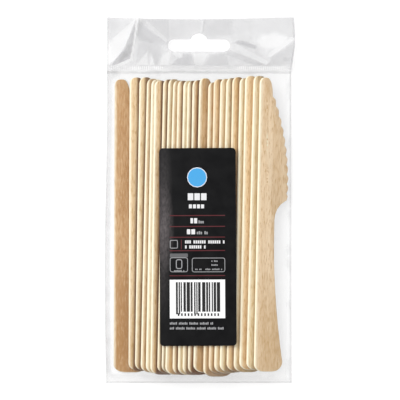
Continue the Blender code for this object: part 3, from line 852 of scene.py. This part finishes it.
def makeFilm():
    front = filmSheet("film_front", True)
    back = filmSheet("film_back", False)
    cutSlot(front)
    cutSlot(back)
    pick(back)
    editAll()
    bpy.ops.mesh.flip_normals()
    endEdit()
    front.select_set(True)
    bpy.context.view_layer.objects.active = front
    bpy.ops.object.join()
    front.name = "film_shell"
    editAll()
    bpy.ops.mesh.remove_doubles(threshold=tiny)
    endEdit()
    thicken(front, filmLook["wall"])
    applyAll(front)
    bpy.ops.object.shade_smooth_by_angle(angle=math.radians(50.0))
    front.data.materials.append(filmFinish())
    onPack(front, "film", "film_bag")
    return front


weldSpot = (8 * mm, weldLine + 0.3 * mm)
weldHeight = (filmHit(*weldSpot, True) + filmHit(*weldSpot, False)) / 2
film = makeFilm()
covers = [mark.value for mark in film.data.attributes["hazeAndPaintedShade"].data]
coverRange = f"cover from {min(covers):.3f} to {max(covers):.3f}"
print("film made,", len(film.data.polygons), "faces,", coverRange)


# Ribs pressed into the weld

ribLook = {
    "pitch": 1.098 * mm,
    "oneRib": -32.37 * mm,  # where the middle of one rib lies
    "width": 0.52 * mm,
    "length": 2.2 * mm,
    "height": 0.08 * mm,
    "cuts": (-0.6 * mm, 0.0, 0.6 * mm),
    "rounding": 0.4,  # as a share of the height
    "lift": 0.06 * mm,
    "fromSide": 1.2 * mm,
    # white, a painted highlight on the pressed ribs
    "colour": (1.0, 1.0, 1.0, 1),
}

# Painted highlight: how white the ribs gleam along the weld: place in mm from the bag's middle, and cover
ribGleam = (
    (-52, 0.25), (-40, 0.40), (-36, 0.90), (-21, 0.90), (-16, 0.50), (16, 0.50), (22, 0.90), (44, 0.90),
    (51, 0.3),
)


def frontHeight(x, y):
    left, right = sidesAt(y)
    return filmPoint((x - left) / (right - left), y, True).z


def makeRibs():
    look = ribLook
    middle = weldLine + filmLook["weldHeight"] / 2
    left, right = sidesAt(middle)
    ribsBefore = math.floor((look["oneRib"] - left - look["fromSide"]) / look["pitch"])
    first = look["oneRib"] - ribsBefore * look["pitch"]
    bpy.ops.object.select_all(action="DESELECT")
    bpy.ops.mesh.primitive_cube_add(size=1, location=(first, middle, 0))
    ribs = bpy.context.object
    ribs.name = "weld_ribs"
    ribs.scale = (look["width"], look["length"], look["height"])
    applyPlace(ribs)
    for cut in look["cuts"]:
        editAll()
        bpy.ops.mesh.bisect(plane_co=(0, middle + cut, 0), plane_no=(0, 1, 0))
    endEdit()
    rounding = ribs.modifiers.new("rounding", "BEVEL")
    rounding.width = look["height"] * look["rounding"]
    row = ribs.modifiers.new("row", "ARRAY")
    row.use_relative_offset = False
    row.use_constant_offset = True
    row.constant_offset_displace = (look["pitch"], 0, 0)
    row.count = math.floor((right - look["fromSide"] - first) / look["pitch"]) + 1
    applyAll(ribs)
    gleam = ribs.data.attributes.new("gleam", "FLOAT", "POINT")
    for vert in ribs.data.vertices:
        gleam.data[vert.index].value = alongTable(ribGleam, vert.co.x / mm)[0]
        vert.co.z += frontHeight(vert.co.x, vert.co.y) + look["lift"]
    material, tree, shader = startMaterial("pressedFilm", 0.3)
    shader.inputs["Base Color"].default_value = look["colour"]
    where = objectPlace(tree)
    cloud = noiseNode(tree, stretched(tree, where, (420, 300, 420)), 1.0)
    patchy = rangeNode(tree, cloud, 0.3, 0.7, 0.75, 1.05)
    plug(tree, product(tree, attributeNode(tree, "gleam"), patchy), shader.inputs["Alpha"])
    plug(tree, rangeNode(tree, patchy, 0.75, 1.05, 0.4, 0.25), shader.inputs["Roughness"])
    ribs.data.materials.append(material)
    onPack(ribs, "film")


makeRibs()
print("ribs made")


# Label and its print

labelLook = {
    "width": 41.6 * mm,
    "length": 107.4 * mm,
    "turn": math.radians(0.3),
    "corner": 2.0 * mm,
    "cell": 1.2 * mm,
    "thickness": 0.12 * mm,
    "printLift": 0.03 * mm,
    "middlePixel": (200.1, 199.9),
    "smoothing": (-2.4 * mm, -1.2 * mm, 0.0, 1.2 * mm, 2.4 * mm),
    "sideInset": 0.3 * mm,
    "endInset": 2.2 * mm,
    "black": (0.0028, 0.0028, 0.0034),
    "sheen": (0.14, 0.122, 0.124, 1),
}
labelLow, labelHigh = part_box("label")
labelMiddle = (labelLow + labelHigh) / 2
labelTree = treeOf("label")


def onLabel(x, y):  # from the label's own frame to the pack's
    across, along = math.cos(labelLook["turn"]), math.sin(labelLook["turn"])
    return labelMiddle.x + x * across - y * along, labelMiddle.y + x * along + y * across


def labelHeight(x, y):  # smoothed height of the label's top at a place in its own frame
    look = labelLook
    total = 0.0
    mostX = look["width"] / 2 - look["sideInset"]
    mostY = look["length"] / 2 - look["endInset"]
    for reach in look["smoothing"]:
        placeX = min(max(x + reach, -mostX), mostX)
        placeY = min(max(y, -mostY), mostY)
        total += labelTree.ray_cast(Vector((*onLabel(placeX, placeY), 0.1)), Vector((0, 0, -1)))[0].z
    return total / len(look["smoothing"])


def addField(x, y, width, height, corner=0.0, line=0.0):  # one flat shape of the print; line gives an outline
    bpy.ops.object.select_all(action="DESELECT")
    bpy.ops.mesh.primitive_plane_add(size=1, location=(x, y, 0))
    field = bpy.context.object
    field.scale = (width, height, 1)
    applyPlace(field)
    if corner:
        editAll()
        bpy.ops.mesh.bevel(affect="VERTICES", offset=corner, segments=4)
    if line:
        editAll()
        bpy.ops.mesh.inset(thickness=line)
        bpy.ops.mesh.delete(type="FACE")
    endEdit()
    return field


def placeOf(column, row):  # a place of the photograph in the label's own frame
    middleColumn, middleRow = labelLook["middlePixel"]
    x = (column - middleColumn) * pixel - labelMiddle.x
    y = (middleRow - row) * pixel - labelMiddle.y
    across, along = math.cos(labelLook["turn"]), math.sin(labelLook["turn"])
    return x * across + y * along, y * across - x * along


def photoField(place, corner=0.0, line=0.0):
    left, right, top, foot = place
    x, y = placeOf((left + right) / 2, (top + foot) / 2)
    return addField(x, y, (right - left) * pixel, (foot - top) * pixel, corner, line)


def joinFields(name, fields):
    pick(fields[0])
    for field in fields:
        field.select_set(True)
    if len(fields) > 1:
        bpy.ops.object.join()
    fields[0].name = name
    return fields[0]


def cutAcross(piece, side, step):  # cuts a flat piece into strips along x or y
    places = [vert.co[side] for vert in piece.data.vertices]
    low, high = min(places), max(places)
    normal = [1.0 if axis == side else 0.0 for axis in range(3)]
    for cut in range(1, math.ceil((high - low) / step)):
        editAll()
        bpy.ops.mesh.bisect(plane_co=[part * (low + cut * step) for part in normal], plane_no=normal)
    endEdit()


def drape(piece, lift, thickness):
    pick(piece)
    cutAcross(piece, 0, labelLook["cell"])
    cutAcross(piece, 1, 4 * labelLook["cell"])
    for vert in piece.data.vertices:
        height = labelHeight(vert.co.x, vert.co.y) + lift
        vert.co = (*onLabel(vert.co.x, vert.co.y), height)
    if piece.data.polygons[0].normal.z < 0:
        piece.data.flip_normals()
    thicken(piece, thickness)
    applyAll(piece)
    bpy.ops.object.shade_smooth_by_angle(angle=math.radians(40.0))


inkLook = {
    "wornTo": 0.25,
    "gloss": 0.12,
    "roughnessSpread": (-0.06, 0.08),
    "bump": 0.02 * mm,
    "bumpStrength": 0.25,
}


def inkFinish(name, colour, roughness, wear):
    look = inkLook
    material, tree, shader = startMaterial(name, roughness)
    where = objectPlace(tree)
    soft = noiseNode(tree, where, 160.0, 4.0)
    worn = tuple(min(1.0, part * (1.0 - wear) + look["wornTo"] * wear) for part in colour)
    ink = mixColour(tree, rangeNode(tree, soft, 0.35, 0.7, 0.0, 1.0), (*colour, 1), (*worn, 1))
    plug(tree, ink, shader.inputs["Base Color"])
    spread = [roughness + part for part in look["roughnessSpread"]]
    plug(tree, rangeNode(tree, soft, 0.3, 0.7, *spread), shader.inputs["Roughness"])
    shader.inputs["Specular IOR Level"].default_value = look["gloss"]
    addBump(tree, shader, noiseNode(tree, where, 2400.0, 2.0), look)
    return material


# The paler stretch down the label's left side is a painted sheen, as soft ovals: middle, reaches and strength
labelSheen = (
    (-19.8, -16.0, 6.0, 26.0, 0.90), (-19.8, 6.0, 5.0, 30.0, 0.30), (-19.9, -40.0, 4.0, 28.0, 0.22),
)


def makeLabel():
    look = labelLook
    sheet = joinFields("label_sheet", [addField(0, 0, look["width"], look["length"], look["corner"])])
    drape(sheet, 0.0, look["thickness"])
    material = inkFinish("labelBlack", look["black"], 0.34, 0.01)
    tree = material.node_tree
    base = tree.nodes["Principled BSDF"].inputs["Base Color"]
    colour = base.links[0].from_socket
    where = objectPlace(tree)
    sheenBreakup = noiseNode(tree, stretched(tree, where, (900, 420, 900)), 1.0)
    uneven = rangeNode(tree, sheenBreakup, 0.3, 0.7, 0.35, 1.0)
    for spot in labelSheen:
        share = product(tree, spotMask(tree, where, spot), uneven)
        colour = mixColour(tree, share, colour, look["sheen"])
    plug(tree, colour, base)
    sheet.data.materials.append(material)
    onPack(sheet, "label", "label")


def makePrint(name, fields, colour, layer=1, roughness=0.4):
    piece = joinFields(name, fields)
    drape(piece, layer * labelLook["printLift"], labelLook["printLift"] * 0.8)
    piece.data.materials.append(inkFinish(name + "Ink", colour, roughness, 0.04))
    onPack(piece, "label")


# Places of the print in the photograph's pixels: left, right, top and foot
titleBlocks = ((187.9, 193.4, 193.2, 200.1), (194.5, 200.0, 193.2, 200.1), (201.1, 206.6, 193.2, 200.1))
whiteBars = (
    (190.6, 193.2, 218.0, 223.2), (194.2, 197.3, 218.0, 223.2), (187.0, 190.4, 229.1, 234.1),
    (191.4, 195.2, 229.1, 234.1),
)
headingBar = (170.0, 188.0, 253.3, 257.2)
boxes = ((170.0, 188.0, 257.2, 271.9), (192.0, 225.2, 257.5, 271.9))
iconFrame = (170.0, 178.0, 239.8, 248.3)
boxShape = (176.0, 182.4, 259.0, 268.8)
emblem = (187.2, 207.2, 167.3, 187.3)
emblemDisc = (188.0, 206.4, 168.1, 186.5)
panel = (169.9, 225.2, 279.4, 318.0)
ruleRows = (215.4, 226.3, 237.0, 250.4, 275.4)
ruleEnds = (169.9, 225.1)
ruleHalfWidth = 0.45
upright = (181.1, 181.8, 239.5, 249.0)

# Lines of small bars in the place of text: left, right, top and foot, and the step from one bar to the next
whiteRows = (
    (189.0, 205.0, 204.3, 208.2, 4.05), (185.2, 225.0, 240.2, 243.3, 2.1), (185.2, 205.9, 245.2, 248.3, 2.1),
)
greyRows = (
    (198.6, 204.0, 220.3, 223.2, 1.9), (196.9, 208.0, 231.0, 234.1, 1.9), (211.5, 217.8, 260.0, 261.6, 1.3),
    (211.5, 217.8, 263.9, 265.5, 1.3), (205.5, 223.4, 268.2, 269.8, 1.3), (195.4, 202.4, 268.2, 269.8, 1.3),
    (173.0, 185.0, 269.8, 271.2, 1.3), (170.0, 214.3, 321.8, 324.2, 1.5), (170.0, 225.0, 326.7, 329.1, 1.5),
)


textLook = {
    "barShare": 0.74,  # how much of its step a bar takes
    "lowBar": 0.2,  # how much lower some bars end, as a share of the line
    "evenFrom": 2.0,  # steps from which all the bars are equally tall
    "solidFrom": 4.0,  # and from which no gap is left between words
}


def letterBars(row, place):  # small upright bars in word-like groups
    look = textLook
    left, right, top, foot, step = place
    fields = []
    for k in range(int((right - left) / step + 0.2)):
        if (k + 2 * row) % 7 == 5 and step < look["solidFrom"]:
            continue  # a gap between words
        isTall = (k * 5 + row) % 3 == 0 or step > look["evenFrom"]
        high = top if isTall else top + look["lowBar"] * (foot - top)
        fields.append(photoField((left + k * step, left + (k + look["barShare"]) * step, high, foot)))
    return fields


# The lined panel's own places and widths, in the photograph's pixels
panelLook = {
    "ends": (176.1, 220.8),
    "top": 281.9,
    "foot": 311.4,
    "longFoot": 314.0,
    "longBars": (0, 1, 6, 7),
    "widths": (1.9, 1.2, 3.3, 1.4, 2.4),
    "gaps": (0.8, 1.5, 0.7),
    "dots": 13,
    "firstDot": (178.0, 179.5, 312.9, 315.7),
    "dotStep": 3.3,
    "dotCorner": 0.1 * mm,
}


def panelBars():  # uneven dark lines that stand for nothing
    look = panelLook
    fields = []
    column, last = look["ends"]
    for k in range(40):
        width = look["widths"][(k * 3) % 5]
        if column + width > last:
            break
        foot = look["longFoot"] if k in look["longBars"] else look["foot"]
        fields.append(photoField((column, column + width, look["top"], foot)))
        column += width + look["gaps"][(k * 2) % 3]
    left, right, top, foot = look["firstDot"]
    for k in range(look["dots"]):
        move = k * look["dotStep"]
        fields.append(photoField((left + move, right + move, top, foot), look["dotCorner"]))
    return fields


prints = {
    "red": (0.115, 0.022, 0.027),
    "white": (0.78, 0.78, 0.79),
    "grey": (0.34, 0.34, 0.35),
    "heading": (0.13, 0.13, 0.135),
    "ring": (0.75, 0.78, 0.85),
    "disc": (0.07, 0.38, 0.75),
    "panel": (0.95, 0.95, 0.95),
    "bars": (0.02, 0.02, 0.02),
    "blockCorner": 0.2 * mm,
    "headingCorner": 0.4 * mm,
    "ringCorner": 5.4 * mm,
    "discCorner": 4.95 * mm,
    "iconOutline": (0.8 * mm, 0.4 * mm),  # each outline's corner and the width of its line
    "boxOutline": (1.2 * mm, 0.35 * mm),
    "shapeOutline": (1.2 * mm, 0.5 * mm),
}
makeLabel()
ruleFields = [photoField((*ruleEnds, row - ruleHalfWidth, row + ruleHalfWidth)) for row in ruleRows]
makePrint("label_rules", ruleFields + [photoField(upright)], prints["red"])
whiteFields = [photoField(place, prints["blockCorner"]) for place in titleBlocks + whiteBars]
whiteFields += [field for row, place in enumerate(whiteRows) for field in letterBars(row, place)]
makePrint("label_white_fields", whiteFields, prints["white"])
greyFields = [field for row, place in enumerate(greyRows) for field in letterBars(row, place)]
greyFields.append(photoField(iconFrame, *prints["iconOutline"]))
greyFields += [photoField(place, *prints["boxOutline"]) for place in boxes]
greyFields.append(photoField(boxShape, *prints["shapeOutline"]))
makePrint("label_small_lines", greyFields, prints["grey"])
makePrint("label_heading", [photoField(headingBar, prints["headingCorner"])], prints["heading"])
makePrint("label_emblem_ring", [photoField(emblem, prints["ringCorner"])], prints["ring"])
makePrint("label_emblem", [photoField(emblemDisc, prints["discCorner"])], prints["disc"], 2)
makePrint("label_panel", [photoField(panel)], prints["panel"])
makePrint("label_panel_bars", panelBars(), prints["bars"], 2)
print("label made")


# Floor, light and camera

stageLook = {
    "floorSize": 6.0,
    "floorDrop": 0.25 * mm,
    "floorColour": (0.42, 0.42, 0.42, 1),
    "floorGlow": 0.66,
    "airLight": 0.60,
    "lens": 500.0,
    "sensor": 36.0,
    "seenWidth": photoWidth * pixel,
    "aimHeight": 12 * mm,
    "keyPlace": (-0.55, 0.35, 1.0),
    "keySize": 0.9,
    "keyPower": 10.9,
}


def anyView(tree):  # 1 for what the camera sees, straight, mirrored or through glass
    seen = addNode(tree, "ShaderNodeLightPath")
    through = mathNode(tree, "MAXIMUM", seen.outputs["Is Glossy Ray"], seen.outputs["Is Transmission Ray"])
    return mathNode(tree, "MAXIMUM", seen.outputs["Is Camera Ray"], through)


def makeFloor():
    bpy.ops.object.select_all(action="DESELECT")
    look = stageLook
    bpy.ops.mesh.primitive_plane_add(size=look["floorSize"], location=(0, 0, cadLow.z - look["floorDrop"]))
    floor = bpy.context.object
    floor.name = "studio_floor"
    material, tree, shader = startMaterial("studioWhite", 0.9)
    shader.inputs["Base Color"].default_value = look["floorColour"]
    shader.inputs["Specular IOR Level"].default_value = 0.0
    shader.inputs["Emission Color"].default_value = (1, 1, 1, 1)
    glow = product(tree, anyView(tree), look["floorGlow"])
    plug(tree, glow, shader.inputs["Emission Strength"])
    floor.data.materials.append(material)


def makeWorld():
    world = bpy.data.worlds.new("studioAir")
    scene.world = world
    world.use_nodes = True
    tree = world.node_tree
    tree.nodes["Background"].inputs["Color"].default_value = (1.0, 1.0, 1.0, 1)
    seen = addNode(tree, "ShaderNodeLightPath")
    strength = rangeNode(tree, seen.outputs["Is Camera Ray"], 0.0, 1.0, stageLook["airLight"], 1.0)
    plug(tree, strength, tree.nodes["Background"].inputs["Strength"])


def addSoftbox(name, place, size, power):
    lamp = bpy.data.lights.new(name, "AREA")
    lamp.shape = "SQUARE"
    lamp.size = size
    lamp.energy = power
    box = bpy.data.objects.new(name, lamp)
    box.location = place
    box.rotation_euler = (-Vector(place)).to_track_quat("-Z", "Y").to_euler()
    scene.collection.objects.link(box)


def makeCamera():
    data = bpy.data.cameras.new("photoCamera")
    data.lens = stageLook["lens"]
    data.sensor_width = stageLook["sensor"]
    away = stageLook["seenWidth"] * data.lens / data.sensor_width
    camera = bpy.data.objects.new("photoCamera", data)
    camera.location = (0, 0, stageLook["aimHeight"] + away)
    data.clip_start = 0.05
    data.clip_end = 10.0
    scene.collection.objects.link(camera)
    scene.camera = camera


makeFloor()
makeWorld()
addSoftbox("keyLight", stageLook["keyPlace"], stageLook["keySize"], stageLook["keyPower"])
makeCamera()
scene.view_settings.view_transform = "Standard"
print("stage made")
